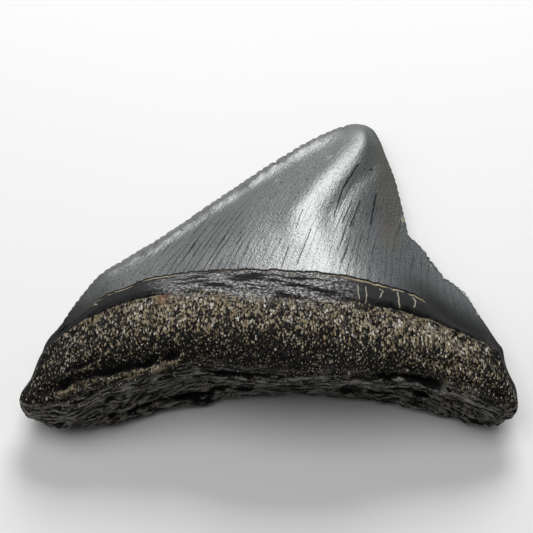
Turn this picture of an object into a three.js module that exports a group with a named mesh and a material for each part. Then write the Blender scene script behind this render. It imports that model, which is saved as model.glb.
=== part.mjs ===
// A fossil megalodon tooth from the side of the jaw, as one solid. It lies on its flat lip side,
// tongue side up, with the root towards -Y and the tip of the crown towards +Y.
// The surface is lofted: guide lines run from the left end of the root to the right end,
// and a closed section is drawn through them at each station along the tooth.
import * as THREE from "three";
import { mergeVertices } from "three/addons/utils/BufferGeometryUtils.js";

// Driving sizes, in millimetres.
const SERRATION_PITCH = 1.25;
const SERRATION_DEPTH = 0.24;
const ENAMEL_STEP = 0.3; // the enamel's rim stands this far above the collar below it
const COLLAR_SWELL = 0.35; // the dark collar between enamel and root is a low roll
const CRACK_DEPTH = 0.55; // where the collar and the crown's shoulders part from the root
const ROOT_LUMPS = 0.3; // the porous root is uneven by this much
const EDGE_FLUTE = 0.45; // share of the crown's fall to its cutting edge that is fluted, not domed
const REST_RELIEF = 0.045; // the middle of the lip side is flat up to this share of its rise

// Guide lines, each point as [x, y, z].
const LEFT_END = [-36.6, 2.2, 6];
const RIGHT_END = [36.5, 1.6, 6];
const OUTLINE_LEFT = [[-35.4, 5, 6], [-34.2, 7.3, 6], [-33.7, 9.6, 5.8]];
const CROWN_EDGE_LEFT = [
  [-33.3, 11.4, 5.5], [-31.2, 14.9, 5], [-28.4, 20, 4.5], [-25.5, 24.2, 4.2], [-21.1, 27.7, 3.8],
  [-16.6, 31, 3.6], [-10.6, 35.9, 3.4], [-4.5, 40.9, 3.2], [1.7, 45.8, 3], [8, 50.05, 2.9],
];
const CROWN_TIP = [[11.1, 51.6, 2.8], [13, 52.1, 2.8], [14.7, 52, 2.8], [16.1, 51.2, 2.8], [17.1, 49.4, 2.8]];
const CROWN_EDGE_RIGHT = [
  [18.2, 46, 2.9], [19.5, 41.8, 3], [20.4, 37.2, 3.1], [21.1, 33, 3.2], [21.3, 31.6, 3.2],
  [22.1, 30.8, 3.3], [23.6, 29, 3.4], [25, 26.5, 3.5], [26.5, 24.2, 3.6], [28.1, 22.7, 3.8],
  [29.7, 21, 4], [30.9, 18.3, 4.4], [32.3, 15.3, 4.9], [34, 11.8, 5.5],
];
const OUTLINE_RIGHT = [[34.7, 10.4, 5.8], [34.9, 8.3, 6], [35.5, 6.1, 6], [36.3, 4, 6]];
const OUTLINE = guide([
  ...OUTLINE_LEFT, ...CROWN_EDGE_LEFT, ...CROWN_TIP, ...CROWN_EDGE_RIGHT, ...OUTLINE_RIGHT,
]);
// The crown's crest on the tongue side, from the root's middle up to the tip.
const CREST_LINE = [
  [2, 12, 12.5], [2.6, 17, 11.6], [3, 22, 10.5], [4.5, 27, 9.6], [6.5, 33, 8.3],
  [9, 39, 6.9], [11.5, 44, 5.6], [13.1, 48, 4.5], [13.6, 51, 3.4], [13.3, 52.1, 2.8],
];
const ENAMEL_FOOT = guide([
  [-35.3, 4.6, 6.6], [-33.8, 9.2, 6.4], [-32.8, 11.1, 6], [-29.5, 15, 5.6], [-26.5, 18.3, 5.3],
  [-25.4, 19.7, 5.3], [-22.4, 20.8, 5.8], [-17.9, 22.4, 6.6], [-12.6, 22.7, 8], [-6.6, 22.4, 9.4],
  [-1.4, 21.9, 10.3], [4.6, 21.2, 10.6], [12, 20.5, 9.6], [16.5, 19.8, 8.5], [21, 19.2, 7.2],
  [23.7, 17.7, 6.7], [27.5, 14.6, 6.2], [31.5, 12.3, 5.9], [33.9, 10.5, 6.2], [34.8, 7.6, 6.6],
  [35.8, 4.6, 6.6],
]);
const ROOT_TOP = guide([
  [-35.2, 4.2, 7], [-33.6, 8.6, 7], [-32.8, 10.4, 6.8], [-31, 12.1, 6.9], [-26.6, 14.9, 8],
  [-20.6, 16.9, 9.4], [-16.2, 17.5, 10.4], [-10.2, 17.5, 11.4], [-2.8, 16.5, 12.2], [4.6, 15.7, 12.4],
  [11.9, 15.4, 12], [19.3, 14.7, 10.6], [23, 13.9, 9.6], [27.5, 12.4, 8.3], [32, 11, 6.9], [33.8, 9.6, 7],
  [34.5, 7.4, 7.2], [35.3, 4.6, 7],
]);
const BULGE = guide([
  [-33.5, 3.1, 8.6], [-27.6, 5.6, 11.2], [-20.3, 7.7, 13.4], [-13, 8.8, 15.2], [-0.2, 7.9, 16.5],
  [11.7, 7.5, 15.6], [22, 6.9, 13.2], [29.3, 5.2, 10.8], [33.8, 3.1, 8.6],
]);
const UNDERTURN = guide([
  [-33.4, -0.4, 7.6], [-29, -0.3, 9], [-23.1, 1.1, 10.5], [-17.3, 2.1, 12], [-11.5, 2.9, 13],
  [-2, 1.4, 14], [8.8, 0.9, 14], [19, 1.8, 12.6], [26.3, 1.4, 10.8], [30.7, 0.5, 9], [33.8, -0.2, 7.2],
]);
const BASE_MIDDLE = guide([
  [-34.5, -0.4, 5.8], [-29, -1.5, 6], [-23, 0.3, 6.2], [-17, 2.4, 6.8], [-11.5, 3.6, 7],
  [0, 4, 7], [9, 3.8, 7], [19, 3.1, 6.6], [25.5, 1.6, 6.2], [30.7, -0.9, 6], [34.6, -0.4, 5.8],
]);
const BASE_EDGE = guide([
  [-36.3, 1, 5], [-35.2, 0, 4], [-33, -0.7, 3.5], [-29.3, -1, 2.9], [-25.7, -0.4, 2.2], [-20.6, 1.1, 1.7],
  [-14.7, 2.9, 1.4], [-9.5, 3.7, 1.4], [-4.3, 4.9, 1.4], [0, 5.3, 1.4], [4.6, 5.4, 1.4], [11.3, 4.7, 1.4],
  [19.4, 3.7, 1.4], [25.3, 1.9, 1.6], [29.7, 0, 2.3], [31, -0.6, 2.7], [33.2, -0.8, 3.5], [34.8, -0.5, 4],
  [36.1, 0.3, 5],
]);
const LIP_ENAMEL_FOOT = guide([
  [-35.3, 4.6, 5], [-33.8, 8.6, 4.2], [-32.8, 10.2, 3.2], [-29, 11.6, 1], [-24, 12.6, 0.2], [-15, 13.8, 0],
  [0, 15, 0], [15, 14, 0], [25, 12.6, 0.2], [30, 11.6, 1], [33.4, 10, 3.2], [34.5, 8, 4.2], [35.6, 4.6, 5],
]);
const LIP_BELLY = 0.12; // the root bellies out to the lip side by this share of its width
const LIP_HOLLOW = 0.5; // the lip side of the root is this hollow between its two lobes

// Furrows and cracks in the root, each with its route on the surface, its half width and its depth.
const FURROWS = [
  {
    route: [[-33.5, 1.5, 8.4], [-28.9, 2.8, 10], [-23.2, 3.6, 11.8], [-17.2, 4.4, 13.2], [-12, 5.6, 14.8]],
    width: 1.1, depth: 1.1,
  },
  { route: [[-11, 3.2, 13.4], [-2, 1.6, 14.2], [4, 0.8, 14.2]], width: 0.9, depth: 0.5 },
  { route: [[9, 1.4, 14.2], [15, 2.2, 13.6], [21, 2, 12.6], [27, 1.2, 11]], width: 0.9, depth: 0.8 },
  { route: [[-30, -1.4, 4.4], [-22, 0.6, 4.2], [-14, 3, 4.2], [-6, 4.4, 4.6]], width: 0.9, depth: 0.6 },
  { route: [[10, 3.6, 9.6], [18, 2.6, 9], [25, 1.2, 8.4], [30, -0.6, 7.4]], width: 1, depth: 0.7 },
  { route: [[-20, 1.6, 8.6], [-8, 3.4, 9.4], [4, 3.2, 9.8]], width: 0.9, depth: 0.5 },
];

// Stations along the tooth: [from x, to x, how many], spaced evenly along the outline,
// and closer and closer together towards the root's two ends, that the ends are round.
const SERRATED_FROM = -21.1;
const SERRATED_TO = 11.1;
const SERRATED_LENGTH = 40.2;
const SERRATED_STATIONS = 2 * Math.round(SERRATED_LENGTH / SERRATION_PITCH);
const ZONES = [
  [-33.3, SERRATED_FROM, 15], [SERRATED_FROM, SERRATED_TO, SERRATED_STATIONS],
  [SERRATED_TO, 17.1, 8], [17.1, 21.3, 14], [21.3, 34, 19],
];
const END_STATIONS = 7;

// Steps of one section, as shares of the way between two guide lines.
const CROWN_STEPS = [0, 0.07, 0.2, 0.38, 0.56, 0.74, 0.9, 1];
// From the root's top over the bulge and under the base to the lip side's enamel.
const ROOT_STEPS = [
  0, 0.05, 0.1, 0.16, 0.22, 0.28, 0.34, 0.39, 0.44, 0.49, 0.54, 0.59, 0.65, 0.72, 0.8, 0.9, 1,
];
const LIP_CROWN_STEPS = [0.95, 0.82, 0.6, 0.35, 0.14, 0.05];
const AROUND = CROWN_STEPS.length + 2 + ROOT_STEPS.length + LIP_CROWN_STEPS.length;

// A smooth curve through values that never swings past them.
function monotoneCubic(xs, values) {
  const last = xs.length - 1;
  const run = xs.slice(1).map((x, i) => x - xs[i]);
  const rise = run.map((h, i) => (values[i + 1] - values[i]) / h);
  const slope = xs.map((_, i) => {
    if (i === 0 || i === last) return rise[Math.min(i, last - 1)];
    if (rise[i - 1] * rise[i] <= 0) return 0;
    const before = 2 * run[i] + run[i - 1];
    const after = run[i] + 2 * run[i - 1];
    return (before + after) / (before / rise[i - 1] + after / rise[i]);
  });
  return (x) => {
    const i = THREE.MathUtils.clamp(xs.findIndex((next) => next > x) - 1, 0, last - 1);
    const k = x >= xs[last] ? last - 1 : i;
    const t = THREE.MathUtils.clamp((x - xs[k]) / run[k], 0, 1);
    const u = 1 - t;
    return values[k] * (1 + 2 * t) * u * u + slope[k] * run[k] * t * u * u +
      values[k + 1] * t * t * (3 - 2 * t) - slope[k + 1] * run[k] * t * t * u;
  };
}

// Turns x into an angle, so that lines that close round the root's ends stay smooth there.
function angleAt(x) {
  const middle = (LEFT_END[0] + RIGHT_END[0]) / 2;
  const half = (RIGHT_END[0] - LEFT_END[0]) / 2;
  return Math.acos(THREE.MathUtils.clamp((middle - x) / half, -1, 1));
}

// A guide line from one end of the root to the other.
function guide(points) {
  const all = [LEFT_END, ...points, RIGHT_END];
  const angles = all.map((p) => angleAt(p[0]));
  const y = monotoneCubic(angles, all.map((p) => p[1]));
  const z = monotoneCubic(angles, all.map((p) => p[2]));
  return (x) => new THREE.Vector3(x, y(angleAt(x)), z(angleAt(x)));
}

// The outline as a fine run of points, to measure along it and to find it again by height.
const OUTLINE_SAMPLES = 2000;
const outlinePoints = Array.from({ length: OUTLINE_SAMPLES + 1 }, (_, i) => {
  const angle = (Math.PI * i) / OUTLINE_SAMPLES;
  return OUTLINE((LEFT_END[0] + RIGHT_END[0]) / 2 - ((RIGHT_END[0] - LEFT_END[0]) / 2) * Math.cos(angle));
});
const tipIndex = outlinePoints.reduce((best, p, i) => (p.y > outlinePoints[best].y ? i : best), 0);

function edgeAtHeight(y, side) {
  let i = tipIndex;
  while (i > 0 && i < OUTLINE_SAMPLES && outlinePoints[i].y > y) i += side;
  return outlinePoints[i];
}

const crestX = monotoneCubic(CREST_LINE.map((p) => p[1]), CREST_LINE.map((p) => p[0]));
const crestZ = monotoneCubic(CREST_LINE.map((p) => p[1]), CREST_LINE.map((p) => p[2]));

// Height of the crown's tongue side: a dome from the crest line down to each cutting edge,
// that flattens into a flute beside the edge.
function crownHeight(x, y) {
  const crest = crestX(y);
  const edge = edgeAtHeight(y, x < crest ? -1 : 1);
  const s = THREE.MathUtils.clamp((x - crest) / (edge.x - crest || 1), 0, 1);
  const dome = 1 - s * s;
  const flute = 0.5 + 0.5 * Math.cos(Math.PI * s);
  return edge.z + (crestZ(y) - edge.z) * THREE.MathUtils.lerp(dome, flute, EDGE_FLUTE);
}

// How much of a station is crown: 1 between the crown's two feet, and 0 on the root's ends.
function crownShare(x) {
  return THREE.MathUtils.smoothstep(x, -33.3, -30) * (1 - THREE.MathUtils.smoothstep(x, 30.5, 34));
}

function tongueCrownPoint(x, share) {
  const edge = OUTLINE(x);
  const foot = ENAMEL_FOOT(x);
  const p = edge.clone().lerp(foot, share);
  p.z = THREE.MathUtils.lerp(p.z, crownHeight(x, p.y), crownShare(x));
  return p;
}

// The root from the collar's lower line, over the bulge and under the base, to the lip side's enamel.
function rootCurve(x) {
  const base = BASE_EDGE(x);
  const lipFoot = LIP_ENAMEL_FOOT(x);
  const hollow = LIP_HOLLOW * Math.max(0, 1 - (x / 17) ** 2);
  const belly = LIP_BELLY * base.distanceTo(lipFoot);
  const lipLow = base.clone().lerp(lipFoot, 0.22);
  lipLow.z += hollow * 0.4 - belly;
  const lipMiddle = base.clone().lerp(lipFoot, 0.6);
  lipMiddle.z += hollow - belly * 0.6;
  const points = [ROOT_TOP(x), BULGE(x), UNDERTURN(x), BASE_MIDDLE(x), base, lipLow, lipMiddle, lipFoot];
  return new THREE.CatmullRomCurve3(points, false, "centripetal");
}

// The lip side of the crown: flat in the middle, rising to the cutting edge.
function lipCrownPoint(x, share) {
  const edge = OUTLINE(x);
  const foot = LIP_ENAMEL_FOOT(x);
  const rise = Math.max(0, (1 - share) ** 2.2 - REST_RELIEF) / (1 - REST_RELIEF);
  return new THREE.Vector3(x, THREE.MathUtils.lerp(edge.y, foot.y, share), foot.z + (edge.z - foot.z) * rise);
}

// The points of the closed section at x, round the tooth from the cutting edge over the tongue side.
function section(x, serration) {
  const tongueCrown = CROWN_STEPS.map((share) => tongueCrownPoint(x, share));
  const rim = tongueCrown[tongueCrown.length - 1];
  const rootTop = ROOT_TOP(x);
  const span = rim.distanceTo(rootTop);
  const step = Math.min(ENAMEL_STEP, span * 0.2);
  const collarTop = rim.clone().lerp(rootTop, 0.12).add(new THREE.Vector3(0, 0, -step));
  const swell = Math.min(COLLAR_SWELL, span * 0.1);
  const collarMiddle = rim.clone().lerp(rootTop, 0.55).add(new THREE.Vector3(0, 0, swell));
  const curve = rootCurve(x);
  const root = ROOT_STEPS.map((share) => curve.getPointAt(share));
  const opened = THREE.MathUtils.smoothstep(Math.abs(x), 12, 20) * crownShare(x);
  root[0].z -= Math.min(CRACK_DEPTH, span * 0.3) * opened;
  const lipCrown = LIP_CROWN_STEPS.map((share) => lipCrownPoint(x, share));
  const outwards = serration * SERRATION_DEPTH;
  for (const p of [tongueCrown[0], tongueCrown[1], lipCrown[lipCrown.length - 1]]) p.y += outwards;
  const points = [...tongueCrown, collarTop, collarMiddle, ...root, ...lipCrown];
  for (const p of points) p.z = Math.max(p.z, 0);
  return points;
}

// How far a point of the root stands out in a lump or back in a dent: broad waves crossed by shorter ones.
function lump(p) {
  const broad = Math.sin(0.42 * p.x + 0.5 * p.y) * Math.cos(0.55 * p.z - 0.6 * p.y + 1);
  const short = Math.sin(1.1 * p.x + 1.3 * p.z) * Math.cos(0.8 * p.x - 1.5 * p.y);
  const belowCollar = THREE.MathUtils.smoothstep(ROOT_TOP(p.x).y - p.y, 0.5, 2.5);
  const aboveRest = THREE.MathUtils.smoothstep(p.z, 1.2, 3.5);
  return ROOT_LUMPS * (0.6 * broad + 0.4 * short) * belowCollar * aboveRest;
}

// How deep the furrows are at a point. Each fades out over its last few millimetres.
function furrowDepth(point) {
  let total = 0;
  for (const { route, width, depth } of FURROWS) {
    let nearest = Infinity;
    for (let i = 0; i + 1 < route.length; i++) {
      const line = new THREE.Line3(new THREE.Vector3(...route[i]), new THREE.Vector3(...route[i + 1]));
      nearest = Math.min(nearest, line.closestPointToPoint(point, true, new THREE.Vector3()).distanceTo(point));
    }
    const toEnd = Math.min(point.x - route[0][0], route[route.length - 1][0] - point.x);
    total += depth * Math.exp(-((nearest / width) ** 2)) * THREE.MathUtils.smoothstep(toEnd, -1, 4);
  }
  return total;
}

// Presses the furrows and lumps into a point of the root, along the line to the middle of its section.
function weathered(point, centre) {
  const inwards = centre.clone().sub(point).setX(0).normalize();
  return point.clone().addScaledVector(inwards, furrowDepth(point) - lump(point));
}

// The x of each station of one of the root's ends, from the zones between to the end itself.
function endPlaces(inner, end) {
  const middle = (LEFT_END[0] + RIGHT_END[0]) / 2;
  const reach = Math.acos((inner - middle) / (end - middle));
  const steps = Array.from({ length: END_STATIONS - 1 }, (_, n) => (reach * (n + 1)) / END_STATIONS);
  return steps.map((angle) => ({ x: middle + (end - middle) * Math.cos(angle), serrated: 0 }));
}

// The x of every station from left to right.
function stationPlaces() {
  const places = endPlaces(ZONES[0][0], LEFT_END[0]);
  for (const [from, to, count] of ZONES) {
    const zone = outlinePoints.filter((p) => p.x >= from && p.x <= to);
    const along = [0];
    for (let i = 1; i < zone.length; i++) along.push(along[i - 1] + zone[i].distanceTo(zone[i - 1]));
    for (let n = 0; n < count; n++) {
      const wanted = (along[along.length - 1] * n) / count;
      const i = Math.max(0, along.findIndex((length) => length > wanted) - 1);
      const serrated = from === SERRATED_FROM ? (n % 2 ? -1 : 1) : 0;
      places.push({ x: zone[i].x, serrated });
    }
  }
  const rightInner = ZONES[ZONES.length - 1][1];
  return [...places, { x: rightInner, serrated: 0 }, ...endPlaces(rightInner, RIGHT_END[0]).reverse()];
}

// The tooth's skin: a sphere whose rings become the sections and whose poles become the root's ends.
function toothGeometry() {
  const stations = stationPlaces();
  const rings = stations.length + 1;
  const sphere = new THREE.SphereGeometry(1, AROUND, rings);
  const position = sphere.getAttribute("position");
  for (let ring = 0; ring <= rings; ring++) {
    const isEnd = ring === 0 || ring === rings;
    const points = isEnd ? [] : section(stations[ring - 1].x, stations[ring - 1].serrated);
    const centre = points.reduce((sum, p) => sum.addScaledVector(p, 1 / AROUND), new THREE.Vector3());
    for (let k = 0; k <= AROUND; k++) {
      const end = new THREE.Vector3(...(ring === 0 ? LEFT_END : RIGHT_END));
      const p = isEnd ? end : weathered(points[(AROUND - k) % AROUND], centre);
      position.setXYZ(ring * (AROUND + 1) + k, p.x, p.y, p.z);
    }
  }
  sphere.deleteAttribute("normal");
  sphere.deleteAttribute("uv");
  return mergeVertices(sphere, 1e-4);
}

// The origin is under the middle of the tooth, on the surface that it rests on.
function restingOnOrigin(geometry) {
  geometry.computeBoundingBox();
  const middle = geometry.boundingBox.getCenter(new THREE.Vector3());
  geometry.translate(-middle.x, -middle.y, -geometry.boundingBox.min.z);
  geometry.computeVertexNormals();
  return geometry;
}

const fossil = new THREE.MeshStandardMaterial({ color: 0x3a3b3a, roughness: 0.5, metalness: 0 });
const tooth = new THREE.Mesh(restingOnOrigin(toothGeometry()), fossil);
tooth.name = "tooth";

const group = new THREE.Group();
group.add(tooth);

export default group;
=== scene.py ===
# A fossil megalodon tooth, lying on its flat lip side on a pale floor, tongue side up.
# The tooth's skin is a UV sphere whose rings are moved to the sections of the tooth, in millimetres,
# and then weathered: serrations, collar, cracks, furrows and the porous grain of the root.
import math

import bpy
import numpy as np
from bpy.props import FloatProperty, FloatVectorProperty, PointerProperty
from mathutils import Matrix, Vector, noise


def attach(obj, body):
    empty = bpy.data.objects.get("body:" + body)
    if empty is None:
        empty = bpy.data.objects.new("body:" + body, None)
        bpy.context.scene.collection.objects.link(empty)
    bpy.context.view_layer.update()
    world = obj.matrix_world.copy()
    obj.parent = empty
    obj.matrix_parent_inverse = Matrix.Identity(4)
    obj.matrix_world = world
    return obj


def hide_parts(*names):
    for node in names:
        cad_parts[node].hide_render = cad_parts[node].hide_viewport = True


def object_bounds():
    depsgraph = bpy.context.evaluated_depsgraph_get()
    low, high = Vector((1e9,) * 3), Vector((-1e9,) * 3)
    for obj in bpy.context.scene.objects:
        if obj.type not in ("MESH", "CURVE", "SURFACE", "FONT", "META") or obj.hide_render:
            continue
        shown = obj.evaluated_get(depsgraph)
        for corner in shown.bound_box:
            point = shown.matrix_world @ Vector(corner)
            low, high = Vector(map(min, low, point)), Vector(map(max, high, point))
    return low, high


bl_info = {
    "name": "Fossil megalodon tooth",
    "version": (1, 0, 0),
    "blender": (4, 5, 0),
    "location": "View3D > Sidebar > Fossil",
    "description": "Builds a weathered fossil megalodon tooth on a pale studio floor",
    "category": "Object",
}

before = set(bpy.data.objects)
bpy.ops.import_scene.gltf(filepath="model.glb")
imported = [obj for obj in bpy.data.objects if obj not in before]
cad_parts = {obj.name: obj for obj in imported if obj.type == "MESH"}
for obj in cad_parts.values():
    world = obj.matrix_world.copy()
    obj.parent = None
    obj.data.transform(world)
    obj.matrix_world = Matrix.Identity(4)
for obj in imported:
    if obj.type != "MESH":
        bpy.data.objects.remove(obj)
CAD_LOW, CAD_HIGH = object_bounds()
MM = 0.001

# Guide lines of the tooth, each point as (x, y, z) in millimetres.
LEFT_END = (-36.6, 2.2, 6)
RIGHT_END = (36.5, 1.6, 6)
TIP_Y = 52.1
OUTLINE = [
    (-35.4, 5, 6), (-34.2, 7.3, 6), (-33.7, 9.6, 5.8), (-33.3, 11.4, 5.5), (-31.2, 14.9, 5),
    (-28.4, 20, 4.5), (-25.5, 24.2, 4.2), (-21.1, 27.7, 3.8), (-16.6, 31, 3.6), (-10.6, 35.9, 3.4),
    (-4.5, 40.9, 3.2), (1.7, 45.8, 3), (8, 50.05, 2.9), (11.1, 51.6, 2.8), (13, 52.1, 2.8),
    (14.7, 52, 2.8), (16.1, 51.2, 2.8), (17.1, 49.4, 2.8), (18.2, 46, 2.9), (19.5, 41.8, 3),
    (20.4, 37.2, 3.1), (21.1, 33, 3.2), (21.3, 31.6, 3.2), (22.1, 30.8, 3.3), (23.6, 29, 3.4),
    (25, 26.5, 3.5), (26.5, 24.2, 3.6), (28.1, 22.7, 3.8), (29.7, 21, 4), (30.9, 18.3, 4.4),
    (32.3, 15.3, 4.9), (34, 11.8, 5.5), (34.7, 10.4, 5.8), (34.9, 8.3, 6), (35.5, 6.1, 6), (36.3, 4, 6),
]
CREST_LINE = [
    (7, 12, 12.5), (7.2, 17, 11.6), (6.8, 22, 10.5), (5.9, 27, 9.6), (6.5, 33, 8.3),
    (9.6, 39, 6.9), (12.8, 44, 5.6), (14.4, 48, 4.5), (14.1, 51, 3.4), (13.3, 52.1, 2.8),
]
ENAMEL_FOOT = [
    (-35.3, 4.6, 6.6), (-33.8, 9.2, 6.4), (-32.8, 11.1, 6), (-29.5, 15, 5.6), (-26.5, 18.3, 5.3),
    (-25.4, 19.7, 5.3), (-22.4, 20.8, 5.8), (-17.9, 22.4, 6.6), (-12.6, 22.7, 8), (-6.6, 22.4, 9.4),
    (-1.4, 21.9, 10.3), (4.6, 21.2, 10.6), (12, 20.5, 9.6), (16.5, 19.8, 8.5), (21, 19.2, 7.2),
    (23.7, 17.7, 6.7), (27.5, 14.6, 6.2), (31.5, 12.3, 5.9), (33.9, 10.5, 6.2), (34.8, 7.6, 6.6),
    (35.8, 4.6, 6.6),
]
ROOT_TOP = [
    (-35.2, 4.2, 7), (-33.6, 8.6, 7), (-32.8, 10.4, 6.8), (-31, 12.1, 6.9), (-26.6, 14.9, 8),
    (-20.6, 16.9, 9.4), (-16.2, 17.5, 10.4), (-10.2, 17.5, 11.4), (-2.8, 16.5, 12.2), (4.6, 15.7, 12.4),
    (11.9, 15.4, 12), (19.3, 14.7, 10.6), (23, 13.9, 9.6), (27.5, 12.4, 8.3), (32, 11, 6.9), (33.8, 9.6, 7),
    (34.5, 7.4, 7.2), (35.3, 4.6, 7),
]
BULGE = [
    (-33.5, 3.1, 8.6), (-27.6, 5.6, 11.2), (-20.3, 7.7, 13.4), (-13, 8.8, 15.2), (-0.2, 7.9, 16.5),
    (11.7, 7.5, 15.6), (22, 6.9, 13.2), (29.3, 5.2, 10.8), (33.8, 3.1, 8.6),
]
UNDERTURN = [
    (-33.4, -0.4, 7.6), (-29, -0.3, 9), (-23.1, 1.1, 10.5), (-17.3, 2.1, 12), (-11.5, 2.9, 13),
    (-2, 1.4, 14), (8.8, 0.9, 14), (19, 1.8, 12.6), (26.3, 1.4, 10.8), (30.7, 0.5, 9), (33.8, -0.2, 7.2),
]
BASE_MIDDLE = [
    (-34.5, -0.4, 5.8), (-29, -1.5, 6), (-23, 0.3, 6.2), (-17, 2.4, 6.8), (-11.5, 3.6, 7),
    (0, 4, 7), (9, 3.8, 7), (19, 3.1, 6.6), (25.5, 1.6, 6.2), (30.7, -0.9, 6), (34.6, -0.4, 5.8),
]
BASE_EDGE = [
    (-36.3, 1, 5), (-35.2, 0, 4), (-33, -0.7, 3.5), (-29.3, -1, 2.9), (-25.7, -0.4, 2.2), (-20.6, 1.1, 1.7),
    (-14.7, 2.9, 1.4), (-9.5, 3.7, 1.4), (-4.3, 4.9, 1.4), (0, 5.3, 1.4), (4.6, 5.4, 1.4), (11.3, 4.7, 1.4),
    (19.4, 3.7, 1.4), (25.3, 1.9, 1.6), (29.7, 0, 2.3), (31, -0.6, 2.7), (33.2, -0.8, 3.5), (34.8, -0.5, 4),
    (36.1, 0.3, 5),
]
LIP_ENAMEL_FOOT = [
    (-35.3, 4.6, 5), (-33.8, 8.6, 4.2), (-32.8, 10.2, 3.2), (-29, 11.6, 1), (-24, 12.6, 0.2), (-15, 13.8, 0),
    (0, 15, 0), (15, 14, 0), (25, 12.6, 0.2), (30, 11.6, 1), (33.4, 10, 3.2), (34.5, 8, 4.2), (35.6, 4.6, 5),
]

# How finely the skin is divided.
STATIONS = 322
CROWN_ROWS = 104
COLLAR_ROWS = 28
ROOT_ROWS = 112
LIP_ROWS = 54
AROUND = CROWN_ROWS + COLLAR_ROWS + ROOT_ROWS + LIP_ROWS
OUTLINE_SAMPLES = 4001
RIGHT_EDGE_SAMPLES = 400
NOTCH_WINDOW = 83
ROUND_END_SHARE = 0.25


def monotone_cubic(xs, values):
    """A smooth curve through values that never swings past them."""
    xs = np.asarray(xs, float)
    values = np.asarray(values, float)
    run = np.diff(xs)
    rise = np.diff(values) / run
    slope = np.concatenate(([rise[0]], np.zeros(len(xs) - 2), [rise[-1]]))
    for i in range(1, len(xs) - 1):
        if rise[i - 1] * rise[i] > 0:
            before = 2 * run[i] + run[i - 1]
            after = run[i] + 2 * run[i - 1]
            slope[i] = (before + after) / (before / rise[i - 1] + after / rise[i])

    def curve(x):
        k = np.clip(np.searchsorted(xs, x) - 1, 0, len(xs) - 2)
        t = np.clip((x - xs[k]) / run[k], 0, 1)
        u = 1 - t
        start = values[k] * (1 + 2 * t) * u * u + slope[k] * run[k] * t * u * u
        return start + values[k + 1] * t * t * (3 - 2 * t) - slope[k + 1] * run[k] * t * t * u

    return curve


# From the guide lines' millimetres to the frame's.
SHIFT = Vector((CAD_HIGH.x / MM - RIGHT_END[0], CAD_HIGH.y / MM - TIP_Y, 0))
MIDDLE_X = (LEFT_END[0] + RIGHT_END[0]) / 2
HALF_X = (RIGHT_END[0] - LEFT_END[0]) / 2


def angle_at(x):
    """Turns x into an angle, so that lines that close round the root's ends stay smooth there."""
    return np.arccos(np.clip((MIDDLE_X - np.asarray(x, float)) / HALF_X, -1, 1))


def guide(points):
    """A guide line from one end of the root to the other: a function from x to points."""
    rows = np.array([LEFT_END, *points, RIGHT_END], float)
    angles = angle_at(rows[:, 0])
    y_curve = monotone_cubic(angles, rows[:, 1])
    z_curve = monotone_cubic(angles, rows[:, 2])

    def line(x):
        angle = angle_at(x)
        return np.stack([np.asarray(x, float), y_curve(angle), z_curve(angle)], axis=-1)

    return line


def smooth(low, high, value):
    t = np.clip((value - low) / (high - low), 0, 1)
    return t * t * (3 - 2 * t)


def fractal(points, octaves=3):
    """Rough noise from about -1 to 1 at each of the points."""
    return np.array([noise.fractal(Vector(p), 1.0, 2.0, octaves) for p in points])


def lerp(a, b, t):
    return a + (b - a) * t


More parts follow.
